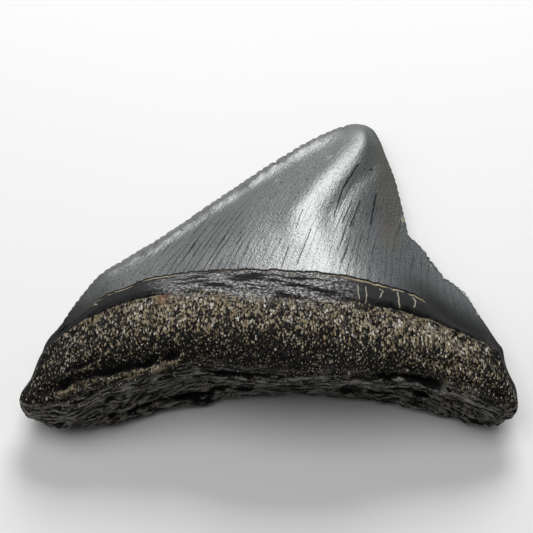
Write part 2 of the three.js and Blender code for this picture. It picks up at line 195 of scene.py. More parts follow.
class Loft:
    """The tooth's sections, one row of points for each station, in millimetres."""

    def __init__(self):
        self.outline = guide(OUTLINE)
        angles = np.linspace(0, np.pi, OUTLINE_SAMPLES)
        samples = self.outline(MIDDLE_X - HALF_X * np.cos(angles))
        top = int(samples[:, 1].argmax())
        self.left = samples[: top + 1]
        self.right = samples[top:][::-1]
        # The crown's height follows the right edge without its notch.
        heights = np.linspace(self.right[0, 1], self.right[-1, 1], RIGHT_EDGE_SAMPLES)
        notched = np.interp(heights, self.right[:, 1], self.right[:, 0])
        window = np.hanning(NOTCH_WINDOW)
        padded = np.pad(notched, NOTCH_WINDOW // 2, mode="reflect", reflect_type="odd")
        unnotched = np.convolve(padded, window / window.sum(), "valid")
        self.right_smooth = (heights, lerp(unnotched, notched, smooth(38, 46, heights)))
        crest = np.array(CREST_LINE, float)
        self.crest_x = monotone_cubic(crest[:, 1], crest[:, 0])
        self.crest_z = monotone_cubic(crest[:, 1], crest[:, 2])
        step = np.linalg.norm(np.diff(samples[:, :2], axis=0), axis=1)
        length = np.concatenate(([0], np.cumsum(step)))
        # Stations are even along the outline, with some share by angle so that the ends are round.
        weight = length / length[-1] + ROUND_END_SHARE * angles / np.pi
        wanted = np.linspace(0, weight[-1], STATIONS + 1)[1:-1]
        self.x = np.interp(wanted, weight, samples[:, 0])
        self.along = np.interp(wanted, weight, length)

    def crown_height(self, x, y):
        crest = self.crest_x(y)
        is_left = x < crest
        edge_x = np.where(is_left, np.interp(y, self.left[:, 1], self.left[:, 0]),
                          np.interp(y, *self.right_smooth))
        edge_z = self.outline(edge_x)[..., 2]
        gap = edge_x - crest
        s = np.clip((x - crest) / np.where(np.abs(gap) < 1e-6, 1e-6, gap), 0, 1)
        dome = 1 - s * s
        flute = 0.5 + 0.5 * np.cos(np.pi * s)
        return edge_z + (self.crest_z(y) - edge_z) * lerp(dome, flute, EDGE_FLUTE)

    def crown_share(self, x):
        return smooth(-33.3, -30, x) * (1 - smooth(30.5, 34, x))

    def root_rows(self, x):
        """Points of the root from its top, over the bulge and under the base, to the lip side."""
        base = guide(BASE_EDGE)(x)
        foot = guide(LIP_ENAMEL_FOOT)(x)
        hollow = LIP_HOLLOW * np.maximum(0, 1 - (x / LIP_HOLLOW_REACH) ** 2)
        belly = LIP_BELLY * np.linalg.norm(foot - base, axis=1)
        low = lerp(base, foot, 0.22)
        low[:, 2] += hollow * 0.4 - belly
        middle = lerp(base, foot, 0.6)
        middle[:, 2] += hollow - belly * 0.6
        knots = [guide(ROOT_TOP)(x), guide(BULGE)(x), guide(UNDERTURN)(x), guide(BASE_MIDDLE)(x),
                 base, low, middle, foot]
        return spaced(centripetal(np.stack(knots, axis=1)), ROOT_ROWS)


def centripetal(knots, steps=14):
    """A smooth curve through each row of knots. Returns the points and how far along the knots each is."""
    first = 2 * knots[:, :1] - knots[:, 1:2]
    last = 2 * knots[:, -1:] - knots[:, -2:-1]
    p = np.concatenate([first, knots, last], axis=1)
    gap = np.maximum(np.linalg.norm(np.diff(p, axis=1), axis=2) ** 0.5, 1e-4)[:, :, None]
    points, place = [], []
    for j in range(knots.shape[1] - 1):
        a, b, c, d = p[:, j], p[:, j + 1], p[:, j + 2], p[:, j + 3]
        g0, g1, g2 = gap[:, j], gap[:, j + 1], gap[:, j + 2]
        m1 = ((b - a) / g0 - (c - a) / (g0 + g1) + (c - b) / g1) * g1
        m2 = ((c - b) / g1 - (d - b) / (g1 + g2) + (d - c) / g2) * g1
        for n in range(steps):
            t = n / steps
            square = (-3 * b + 3 * c - 2 * m1 - m2) * t ** 2
            cube = (2 * b - 2 * c + m1 + m2) * t ** 3
            points.append(b + m1 * t + square + cube)
            place.append(j + t)
    points.append(knots[:, -1])
    place.append(knots.shape[1] - 1)
    return np.stack(points, axis=1), np.array(place)


def spaced(curve, count):
    """The same curves with evenly spaced points, and where each point is along the knots."""
    points, place = curve
    out = np.zeros((len(points), count, 3))
    knot = np.zeros((len(points), count))
    for i, row in enumerate(points):
        length = np.concatenate(([0], np.cumsum(np.linalg.norm(np.diff(row, axis=0), axis=1))))
        wanted = np.linspace(0, length[-1], count)
        for axis in range(3):
            out[i, :, axis] = np.interp(wanted, length, row[:, axis])
        knot[i] = np.interp(wanted, length, place)
    return out, knot


# Forms of the sections. The flute, the belly and the flat rest are shares, the rest is in millimetres.
EDGE_FLUTE = 0.45
LIP_BELLY = 0.12
LIP_HOLLOW = 0.5
LIP_HOLLOW_REACH = 17
REST_RELIEF = 0.045

# Relief, in millimetres: the depths and heights of the weathering.
FOOT_WANDER = 0.24
FOOT_TREMBLE = 0.15
SERRATION_PITCH = 1.18
SERRATION_REACH = 0.55
LEFT_NICK = 0.36
RIGHT_NICK = 0.2
DEEP_NICK = 0.42
COLLAR_STEP = 0.18
COLLAR_GROOVE = 0.1
COLLAR_LIP = 0.12
COLLAR_ROLL = 0.45
SHOULDER_CRACK = 0.75
SHOULDER_CRACK_LIP = 0.25
ROOT_LUMPS = 0.32
BASE_RIPPLE = 0.3
BASE_SPLIT = 0.45
LOBE_FOLDS = 0.55
ROOT_GRAIN = 0.1
ROOT_PITS = 0.14
ENAMEL_SWELL = 0.04
RIDGE_SHOULDER = 0.26
RIDGE_VALLEY = 0.24
TIP_RISE = 0.3
EDGE_ROLL = 0.3
EDGE_ROLL_SWELL = 0.16
FURROW_WANDER = 0.5
FURROWS = [
    # route on the surface, half width, depth, tan lip
    ([(-33.5, 1.5, 8.4), (-28.9, 2.8, 10), (-23.2, 3.6, 11.8), (-17.2, 4.4, 13.2), (-12, 5.6, 14.8)],
     0.62, 1.7, 1.0),
    ([(-32.5, 4.2, 9.4), (-28, 5, 10.8), (-24, 5.2, 12.4)], 0.45, 0.8, 0.6),
    ([(-11, 3.2, 13.4), (-2, 1.6, 14.2), (4, 0.8, 14.2)], 0.45, 0.7, 0.2),
    ([(9, 1.4, 14.2), (15, 2.2, 13.6), (21, 2, 12.6), (27, 1.2, 11)], 0.5, 0.9, 0.3),
    ([(-30, -1.4, 4.4), (-22, 0.6, 4.2), (-14, 3, 4.2), (-6, 4.4, 4.6)], 0.4, 0.8, 0.3),
    ([(10, 3.6, 9.6), (18, 2.6, 9), (25, 1.2, 8.4), (30, -0.6, 7.4)], 0.45, 0.7, 0.2),
    ([(-20, 1.6, 8.6), (-8, 3.4, 9.4), (4, 3.2, 9.8)], 0.4, 0.6, 0.0),
    ([(-27, 0.2, 7.6), (-20, 0.6, 10.2), (-13, 1.6, 11.6)], 0.35, 0.5, 0.3),
]


def distance_to_route(points, route):
    """Distance to a run of lines, above 0 on its lower side, and how far inside its ends each point is."""
    nearest = np.full(len(points), np.inf)
    side = np.ones(len(points))
    corners = np.array(route, float)
    for a, b in zip(corners[:-1], corners[1:]):
        t = np.clip((points - a) @ (b - a) / ((b - a) @ (b - a)), 0, 1)
        offset = points - a - t[:, None] * (b - a)
        length = np.linalg.norm(offset, axis=1)
        side = np.where(length < nearest, np.where(offset[:, 1] + offset[:, 2] < 0, 1, -1), side)
        nearest = np.minimum(nearest, length)
    return nearest * side, np.minimum(points[:, 0] - corners[0, 0], corners[-1, 0] - points[:, 0])


# The growth lines' fan: where it starts, how it leans and bends to the right, and how it closes upwards.
FAN_FOOT = 21.5
FAN_LEAN = 0.305
FAN_BEND = 0.006
FAN_CLOSING = 0.0135


def fan_coordinate(x, y):
    """Where the growth line through a point of the crown meets the enamel's foot, in millimetres."""
    up = y - FAN_FOOT
    return (x - FAN_BEND * up * up - up * FAN_LEAN) / (1 - FAN_CLOSING * up)


def skin_points():
    """Every point of the skin as (station, row, xyz), with what the weathering and the colours need."""
    loft = Loft()
    x = loft.x
    count = len(x)
    wander = FOOT_WANDER * fractal(np.stack([x * 0.5, x * 0, x * 0], axis=1))
    tremble = FOOT_TREMBLE * fractal(np.stack([x * 1.5, x * 0 + 7, x * 0], axis=1))
    edge = loft.outline(x)
    foot = guide(ENAMEL_FOOT)(x)
    foot[:, 1] += (wander + tremble) * loft.crown_share(x)
    # The crown's tongue side, with its rows closer at the edge and at the foot.
    step = np.linspace(0, 1, CROWN_ROWS)
    share = step - 0.6 * np.sin(2 * np.pi * step) / (2 * np.pi)
    y = lerp(edge[:, 1:2], foot[:, 1:2], share[None])
    z_line = lerp(edge[:, 2:3], foot[:, 2:3], share[None])
    xx = np.repeat(x[:, None], CROWN_ROWS, axis=1)
    z = lerp(z_line, loft.crown_height(xx, y), loft.crown_share(x)[:, None])
    crown = np.stack([xx, y, z], axis=-1)
    rim = crown[:, -1].copy()
    # The collar, with its rows closer under the enamel.
    root, knot = loft.root_rows(x)
    top = root[:, 0].copy()
    span = np.linalg.norm(rim - top, axis=1)
    down = ((np.arange(COLLAR_ROWS) + 1) / (COLLAR_ROWS + 1)) ** 1.4
    collar = lerp(rim[:, None], top[:, None], down[None, :, None])
    # The crown's lip side.
    lip_foot = guide(LIP_ENAMEL_FOOT)(x)
    lip_share = 1 - (np.arange(LIP_ROWS) + 1) / (LIP_ROWS + 1)
    rise = np.maximum(0, (1 - lip_share) ** 2.2 - REST_RELIEF) / (1 - REST_RELIEF)
    lip = np.stack([
        np.repeat(x[:, None], LIP_ROWS, axis=1),
        lerp(edge[:, 1:2], lip_foot[:, 1:2], lip_share[None]),
        lip_foot[:, 2:3] + (edge[:, 2:3] - lip_foot[:, 2:3]) * rise[None],
    ], axis=-1)
    points = np.concatenate([crown, collar, root, lip], axis=1)
    # Distances along each section.
    gaps = np.linalg.norm(np.diff(points, axis=1), axis=2)
    arc = np.concatenate([np.zeros((count, 1)), np.cumsum(gaps, axis=1)], axis=1)
    root_start = CROWN_ROWS + COLLAR_ROWS
    lip_start = root_start + ROOT_ROWS
    knot_of_lip_foot = 7.0
    far = 99.0
    data = {
        "from_edge": arc,
        "below_foot": arc - arc[:, CROWN_ROWS - 1:CROWN_ROWS],
        "below_top": arc - arc[:, root_start:root_start + 1],
        "above_lip_foot": arc - arc[:, lip_start - 1:lip_start],
        "collar_span": span[:, None] + np.zeros(AROUND),
        "knot": np.concatenate([
            np.zeros((count, root_start)), knot, np.full((count, LIP_ROWS), knot_of_lip_foot)], axis=1),
        "along": loft.along,
        "lip_to_edge": np.concatenate([
            np.full((count, lip_start), far), np.linalg.norm(lip - edge[:, None], axis=2)], axis=1),
        "crown_share": loft.crown_share(x)[:, None] + np.zeros(AROUND),
    }
    return points, data


def grid_normals(points):
    """Outward normals of the grid of points, whose rows run round the tooth."""
    along = np.gradient(points, axis=0)
    around = (np.roll(points, -1, axis=1) - np.roll(points, 1, axis=1)) / 2
    normal = np.cross(around, along)
    normal /= np.maximum(np.linalg.norm(normal, axis=2, keepdims=True), 1e-9)
    outward = points - points.mean(axis=1, keepdims=True)
    return normal * np.sign((normal * outward).sum())


def bell(value, middle, width):
    return np.exp(-(((value - middle) / width) ** 2))


def serrated(points, data):
    """The points with nicks cut square into the edges, and how deep in a nick each point is."""
    rim = points[:, 0]
    tangent = np.gradient(rim[:, :2], axis=0)
    inward = np.stack([tangent[:, 1], -tangent[:, 0]], axis=1)
    inward /= np.linalg.norm(inward, axis=1, keepdims=True)
    along = data["along"]
    x = rim[:, 0]
    phase = along / SERRATION_PITCH + 0.5 * fractal(np.stack([along * 0.4, along * 0, along * 0], axis=1))
    nick = np.maximum(0, 1 - np.abs(phase % 1 - 0.5) / 0.3)
    size = 0.7 + 0.9 * fractal(np.stack([np.floor(phase) * 0.77, along * 0 + 3, along * 0], axis=1))
    strength = LEFT_NICK * smooth(-34, -27, x) * (1 - smooth(10, 14, x))
    strength += RIGHT_NICK * smooth(18, 20, x) * (1 - smooth(30, 33, x))
    strength *= 1 + 0.6 * smooth(-6, 2, x)
    depth = strength * np.clip(size, 0.1, 1.4) * nick
    near_edge = np.minimum(data["from_edge"], data["lip_to_edge"])
    weight = bell(near_edge, 0, SERRATION_REACH)
    moved = points.copy()
    moved[:, :, :2] += (depth[:, None] * weight)[:, :, None] * inward[:, None]
    return moved, depth[:, None] / DEEP_NICK * bell(near_edge, 0, 0.9)


# How much tan sediment the root holds, at places along it and at distances below its top, in millimetres.
SEDIMENT_ALONG = (
    (-34, 0.1), (-26, 0.75), (-16, 1.25), (-6, 1.1), (4, 0.95), (14, 0.95), (22, 1.2), (29, 1.05), (34, 0.3),
)
SEDIMENT_DOWN = (
    (-0.5, 0.6), (0.3, 1.3), (2, 1.45), (5, 1.4), (9, 1.0), (12, 0.25), (15, -0.1), (22, 0.0),
)


def sediment_density(x, below_top):
    """How much tan sediment the pores of the root hold, about 1 where they are full."""
    return np.interp(x, *np.transpose(SEDIMENT_ALONG)) * np.interp(below_top, *np.transpose(SEDIMENT_DOWN))


class Skin:
    """The serrated skin in millimetres as (station, row, xyz), and where on the tooth each point lies."""

    def __init__(self):
        points, data = skin_points()
        self.points, self.nicks = serrated(points, data)
        self.shape = self.points.shape[:2]
        self.flat = self.points.reshape(-1, 3)
        self.x = self.points[:, :, 0]
        self.y = self.points[:, :, 1]
        # Distances along the section: below the enamel's foot and the root's top, above the lip side's foot.
        self.foot = data["below_foot"]
        self.top = data["below_top"]
        self.lip = data["above_lip_foot"]
        self.from_edge = data["from_edge"]
        self.near_edge = np.minimum(data["from_edge"], data["lip_to_edge"])
        self.collar_span = data["collar_span"]
        self.crown_share = data["crown_share"]
        self.enamel_line = np.maximum(-self.foot, self.lip)
        self.root_line = np.minimum(self.top, -self.lip)
        # Shares: of the enamel, the root and its striated base, and of what stands clear of the floor.
        self.on_enamel = smooth(0, 0.6, self.enamel_line)
        self.on_root = smooth(0.0, 1.5, self.root_line)
        self.base = smooth(1.55, 2.15, data["knot"]) * (1 - smooth(4.6, 5.4, data["knot"]))
        self.above_rest = smooth(0.2, 2.0, self.points[:, :, 2])
        # The stretch of the enamel's foot where the groove and the tan lip show.
        self.shown = smooth(-28, -25, self.x) * (1 - smooth(22, 25, self.x))
        # Lengths along the rows, so that the grain isn't stretched at the root's ends.
        steps = np.linalg.norm(np.diff(self.points, axis=0, prepend=self.points[:1]), axis=2)
        self.across = np.cumsum(steps, axis=0)
        self.across -= self.across[np.abs(self.x[:, 0]).argmin()]
        # Places from the line where the root turns under, so that the fibres of the base follow it.
        self.fibre = self.flat - guide(UNDERTURN)(self.flat[:, 0])
        self.fibre[:, 0] = self.flat[:, 0]

    def noise(self, places, octaves):
        return fractal(places, octaves).reshape(self.shape)


def collar_relief(skin):
    """A groove under the enamel, a thin lip below it and the roll of the collar."""
    foot, top = skin.foot, skin.top
    narrow = np.clip(skin.collar_span / 3.0, 0, 1) * skin.crown_share * skin.shown
    down = np.clip(foot / np.maximum(skin.collar_span, 0.1), 0, 1)
    collar = -COLLAR_STEP * smooth(-0.05, 0.2, foot)
    collar += COLLAR_LIP * bell(foot, 0.38, 0.16) - COLLAR_GROOVE * bell(foot, 0.12, 0.08)
    collar += COLLAR_ROLL * np.sin(np.pi * down) * smooth(0.0, 0.6, foot)
    on_collar = (foot > -0.3) & (top < 0.6)
    relief = np.where(on_collar, collar * narrow, 0)
    return relief + np.where(top >= 0.6, -COLLAR_STEP * narrow * (1 - smooth(0.6, 2.5, top)), 0)


def furrows(skin):
    """The furrows' relief, and how hollow, how tan and how bare they leave each point."""
    relief = np.zeros(skin.shape)
    hollow = np.zeros(skin.shape)
    tan_lip = np.zeros(skin.shape)
    bare = np.zeros(skin.shape)
    rough = skin.noise(skin.flat * 0.55, 2)
    wandering = skin.flat + FURROW_WANDER * np.stack([rough.ravel()] * 3, axis=1)
    for route, width, depth, tan in FURROWS:
        offset, inside = distance_to_route(wandering, route)
        offset = offset.reshape(skin.shape)
        ends = smooth(-1, 4, inside).reshape(skin.shape) * np.clip(0.85 + 0.7 * rough, 0.2, 1.5)
        pressed = bell(offset, 0, width) * ends
        rolled = bell(offset, 1.8 * width, 0.8 * width) * ends
        relief += 0.3 * depth * rolled - depth * pressed
        hollow = np.maximum(hollow, np.clip(pressed * min(1, 1.3 * depth), 0, 1))
        tan_lip = np.maximum(tan_lip, tan * rolled)
        bare = np.maximum(bare, min(1, depth) * bell(offset, -2.2 * width, 1.8 * width) * ends)
    return relief, hollow, tan_lip, np.clip(bare, 0, 1)


def shoulder_crack(skin):
    """The open crack between collar and root on both shoulders: its relief, hollow and tan lip."""
    opened = smooth(12, 20, np.abs(skin.x)) * skin.crown_share * (skin.lip < -2)
    jagged = skin.top + 0.3 * skin.noise(skin.flat * 0.9, 2)
    hollow = opened * bell(jagged, -0.3, 0.4)
    relief = SHOULDER_CRACK_LIP * opened * bell(jagged, 0.6, 0.45) - SHOULDER_CRACK * hollow
    return relief, hollow, opened * bell(jagged, 0.7, 0.6)


def root_relief(skin):
    """Lumps, ripples and splits of the base, folds of the lobes, grain and pits, and the splits' share."""
    relief = ROOT_LUMPS * skin.on_root * skin.above_rest * skin.noise(skin.flat * 0.3, 2)
    ripple = skin.noise(skin.fibre * (0.16, 1.0, 1.0), 3)
    split = smooth(0.12, 0.5, skin.noise(skin.fibre * (0.11, 0.7, 0.7) + (0, 0, 6), 2))
    relief += skin.base * skin.above_rest * (BASE_RIPPLE * ripple - BASE_SPLIT * split)
    lobes = smooth(12, 22, np.abs(skin.x)) * smooth(3, 7, skin.top) * skin.on_root * skin.above_rest
    relief += LOBE_FOLDS * lobes * skin.noise(skin.fibre * (0.3, 0.75, 0.75) + (9, 0, 0), 3)
    spread = np.stack([skin.across, skin.top, skin.x * 0], axis=-1).reshape(-1, 3)
    grain = skin.noise(spread * (1.15, 1.15, 1) + (0, 0, 5), 2)
    pits = smooth(0.15, 0.6, skin.noise(spread * (0.8, 0.8, 1) + (0, 0, 9), 2))
    relief += skin.on_root * skin.above_rest * (1 - skin.base) * (ROOT_GRAIN * grain - ROOT_PITS * pits)
    return relief, split


def crown_relief(skin):
    """The nearly smooth crown: its ridge with the valley to the right, and the roll along the left edge."""
    x, y = skin.x, skin.y
    tongue_side = skin.lip < -1
    relief = ENAMEL_SWELL * skin.above_rest * skin.noise(skin.flat * 0.22, 2)
    off_crest = x - np.interp(y, *np.array(CREST_LINE)[:, [1, 0]].T) - 0.6 * bell(y, 45, 5)
    to_right = np.interp(y, *np.array(OUTLINE[:15:-1])[:, [1, 0]].T) - x
    upper = smooth(25, 32, y) * (1 - smooth(44, 50, y)) * tongue_side * smooth(0.5, 4, to_right)
    ridge = RIDGE_SHOULDER * bell(off_crest, -2.2, 2.4) - RIDGE_VALLEY * bell(off_crest, 3.2, 1.6)
    relief += upper * ridge
    relief += TIP_RISE * tongue_side * bell(y, 49.5, 3.0) * bell(off_crest, 0, 2.2)
    roll = EDGE_ROLL + EDGE_ROLL_SWELL * skin.noise(skin.flat * 0.35 + (4, 0, 0), 2)
    left = (skin.foot < 0) * (1 - smooth(5, 12, x)) * skin.crown_share
    relief += left * roll * bell(skin.from_edge, 1.4, 1.4)
    return skin.on_enamel * relief


def weathered():
    """The weathered skin in millimetres as (station, row, xyz), and its attributes."""
    skin = Skin()
    x, top, base = skin.x, skin.top, skin.base
    furrow, hollow, tan_lip, bare = furrows(skin)
    crack, crack_hollow, crack_tan = shoulder_crack(skin)
    root, split = root_relief(skin)
    relief = collar_relief(skin) + crack + furrow + root + crown_relief(skin)
    points = skin.points + grid_normals(skin.points) * relief[:, :, None]
    points[:, :, 2] = np.maximum(points[:, :, 2], 0)

    # The hollows of furrows, cracks and the base's splits, which the material paints black as painted shade.
    hollow = np.maximum(hollow, crack_hollow)
    hollow = np.maximum(hollow, (0.35 + 0.5 * smooth(-16, -8, x)) * split * base)
    tan_lip = np.maximum(tan_lip, crack_tan)
    left = smooth(10, 20, -x)
    density = sediment_density(x, top) * (1 - 0.6 * base * (1 - left)) + 0.1 * left * smooth(7, 13, top)
    density = np.maximum(density * (1 - 0.9 * bare), 1.3 * tan_lip)
    fan = fan_coordinate(x, points[:, :, 1])
    attributes = {
        "lines": np.stack([skin.enamel_line, skin.root_line, fan], axis=-1),
        "grain": np.stack([skin.across, skin.shown, np.minimum(skin.near_edge, 9)], axis=-1),
        "marks": np.stack([base, hollow, density], axis=-1),
        "spots": np.stack([skin.nicks, tan_lip, np.zeros(skin.shape)], axis=-1),
        "fibre": skin.fibre.reshape(*skin.shape, 3),
    }
    return points, attributes


def add_skin(name):
    """A UV sphere whose rings become the tooth's sections and whose poles become the root's ends."""
    points, attributes = weathered()
    bpy.ops.object.select_all(action="DESELECT")
    bpy.ops.mesh.primitive_uv_sphere_add(segments=AROUND, ring_count=STATIONS, radius=1)
    tooth = bpy.context.object
    tooth.name = tooth.data.name = name
    ball = np.zeros(len(tooth.data.vertices) * 3)
    tooth.data.vertices.foreach_get("co", ball)
    ball = ball.reshape(-1, 3)
    ring = np.rint(np.arccos(np.clip(ball[:, 2], -1, 1)) * STATIONS / np.pi).astype(int)
    row = np.rint(np.arctan2(ball[:, 1], ball[:, 0]) * AROUND / (2 * np.pi)).astype(int) % AROUND
    at_end = (ring == 0) | (ring == STATIONS)
    station = np.clip(ring - 1, 0, STATIONS - 2)
    places = points[station, AROUND - 1 - row]
    places[ring == 0] = LEFT_END
    places[ring == STATIONS] = RIGHT_END
    tooth.data.vertices.foreach_set("co", ((places + np.array(SHIFT)) * MM).ravel())
    for key, values in attributes.items():
        layer = tooth.data.attributes.new(key, "FLOAT_VECTOR", "POINT")
        mine = values[station, AROUND - 1 - row]
        if key != "grain":
            mine[at_end] = mine[at_end].mean(axis=0)
        layer.data.foreach_set("vector", mine.ravel())
    tooth.data.update()
    bpy.ops.object.mode_set(mode="EDIT")
    bpy.ops.mesh.select_all(action="SELECT")
    bpy.ops.mesh.normals_make_consistent(inside=False)
    bpy.ops.object.mode_set(mode="OBJECT")
    bpy.ops.object.shade_smooth()
    return tooth


class Shader:
    """Adds nodes to a material, and links a value, a colour or another node's socket to each input."""

    def __init__(self, name):
        self.material = bpy.data.materials.new(name)
        self.material.use_nodes = True
        self.tree = self.material.node_tree
        self.surface = self.tree.nodes["Principled BSDF"]

    def link(self, socket, value):
        if isinstance(value, bpy.types.NodeSocket):
            self.tree.links.new(value, socket)
        else:
            socket.default_value = value

    def node(self, kind, output=0, inputs=(), **settings):
        made = self.tree.nodes.new(kind)
        for key, value in settings.items():
            setattr(made, key, value)
        for key, value in dict(inputs).items():
            self.link(made.inputs[key], value)
        return made.outputs[output]

    def math(self, operation, *values, clamp=False):
        return self.node("ShaderNodeMath", inputs=enumerate(values), operation=operation, use_clamp=clamp)

    def times(self, first, *others):
        for other in others:
            first = self.math("MULTIPLY", first, other)
        return first

    def plus(self, first, *others):
        for other in others:
            first = self.math("ADD", first, other)
        return first

    def minus(self, a, b):
        return self.math("SUBTRACT", a, b)

    def gap(self, value, middle):
        """How far a value is from the middle, either way."""
        return self.math("ABSOLUTE", self.minus(value, middle))

    def swing(self, value, size):
        """A noise made to lie about 0 rather than about a half, times a size."""
        return self.times(self.minus(value, 0.5), size)

    def fade(self, value, low, high):
        """0 below low and 1 above high, or the other way round where low is above high."""
        return self.node("ShaderNodeMapRange", inputs={
            "Value": value, "From Min": low, "From Max": high}, interpolation_type="SMOOTHSTEP")

    def band(self, value, middle, half):
        return self.fade(self.gap(value, middle), half, half * 0.35)

    def parts(self, vector):
        return self.node("ShaderNodeSeparateXYZ", inputs={0: vector}).node.outputs

    def attribute(self, name):
        """The attribute's vector, and its three values."""
        vector = self.node("ShaderNodeAttribute", output="Vector", attribute_name=name)
        return vector, *self.parts(vector)

    def xyz(self, x, y, z=0.0):
        return self.node("ShaderNodeCombineXYZ", inputs={0: x, 1: y, 2: z})

    def vector_math(self, operation, *values, output=0):
        return self.node("ShaderNodeVectorMath", output=output, inputs=enumerate(values), operation=operation)

    def along_way(self, vector, way):
        return self.vector_math("DOT_PRODUCT", vector, way, output="Value")

    def swirl(self, vector, scale):
        """Three noises at once, as a vector."""
        return self.node("ShaderNodeTexNoise", output="Color", inputs={
            "Vector": vector, "Scale": scale, "Detail": 2.0})

    def bent(self, vector, scale, size):
        """The place in the guide lines' millimetres, moved to and fro so that lines across it are crooked."""
        sway = self.vector_math("SUBTRACT", self.swirl(vector, scale), (0.5, 0.5, 0.5))
        sway = self.vector_math("MULTIPLY_ADD", sway, (size, size, 0.0), tuple(-SHIFT))
        return self.vector_math("MULTIPLY_ADD", vector, (1 / MM,) * 3, sway)

    def strokes(self, vector, lines):
        """The widest of the strokes at each place."""
        drawn = 0.0
        for start, end, half in lines:
            drawn = self.math("MAXIMUM", drawn, self.stroke(vector, start, end, half))
        return drawn

    def stroke(self, vector, start, end, half):
        """1 on the line from start to end, seen from above, and 0 beyond half its width."""
        run = (end[0] - start[0], end[1] - start[1], 0.0)
        length = run[0] ** 2 + run[1] ** 2
        flat = self.vector_math("MULTIPLY", vector, (1.0, 1.0, 0.0))
        offset = self.vector_math("SUBTRACT", flat, (*start, 0.0))
        share = self.math("DIVIDE", self.along_way(offset, run), length, clamp=True)
        nearest = self.vector_math("SCALE", run)
        self.link(nearest.node.inputs["Scale"], share)
        return self.fade(self.vector_math("DISTANCE", offset, nearest, output="Value"), half, half * 0.4)

    def noise(self, vector, scale, detail=3.0, rough=0.55):
        return self.node("ShaderNodeTexNoise", inputs={
            "Vector": vector, "Scale": scale, "Detail": detail, "Roughness": rough})

    def mix(self, share, a, b):
        """The colour a, with b over it by its share."""
        made = self.tree.nodes.new("ShaderNodeMix")
        made.data_type = "RGBA"
        self.link(made.inputs["Factor"], share)
        for key, colour in (("A", a), ("B", b)):
            is_socket = isinstance(colour, bpy.types.NodeSocket)
            self.link(made.inputs[key], colour if is_socket else (*colour, 1))
        return made.outputs["Result"]

    def painted(self, colour, *coats):
        """The colour with coats over it, each a share and its own colour."""
        for share, coat in coats:
            colour = self.mix(share, colour, coat)
        return colour

    def mix_value(self, share, a, b):
        return self.node("ShaderNodeMix", inputs={0: share, 2: a, 3: b})


# Dark cracks of the enamel and tan marks, from (x, y) to (x, y), and half the width of each, in millimetres.
ENAMEL_CRACKS = (
    ((13.7, 42.9), (11.3, 38), 0.2), ((11.2, 37.7), (9.8, 32.2), 0.16), ((16.4, 38.2), (15.4, 32), 0.17),
    ((13.9, 36.2), (12.2, 30.6), 0.16), ((12.6, 35.8), (11.1, 31.2), 0.15), ((6.3, 29.2), (4.1, 22.4), 0.12),
    ((3, 25.9), (1.8, 22.1), 0.12), ((5.1, 33.2), (4, 29.3), 0.09), ((15.8, 42.8), (15.75, 42.6), 0.3),
)
TAN_MARKS = (
    ((13.1, 18.6), (13.3, 15.9), 0.11), ((14.3, 18.4), (14.4, 16.5), 0.12), ((14.4, 16.5), (14.2, 15), 0.09),
    ((16.4, 18.3), (16.9, 17.9), 0.12), ((16.9, 17.9), (16.4, 16.5), 0.11), ((31.2, 17.3), (31.3, 17), 0.2),
    ((19.1, 18.5), (19.3, 15.2), 0.13), ((21.4, 17.9), (21.8, 16.9), 0.13), ((20.6, 35), (20.5, 34.2), 0.35),
    ((21.8, 16.9), (21.5, 15.6), 0.11), ((24.5, 26.1), (24.6, 25.9), 0.2),
    ((-26.1, 18.7), (-26.1, 17.9), 0.14), ((-26.1, 17.9), (-25.7, 17.5), 0.16),
)

# Ways across the root's face, in millimetres for each metre. The second is short, which draws the grains out.
DOWN_THE_FACE = (0.0, 436.0, 900.0)
OUT_OF_THE_FACE = (0.0, -310.0, 150.0)
BUMP_DEPTH = 0.00016
SPECULAR_LEVEL = 0.15
MATT = 0.95


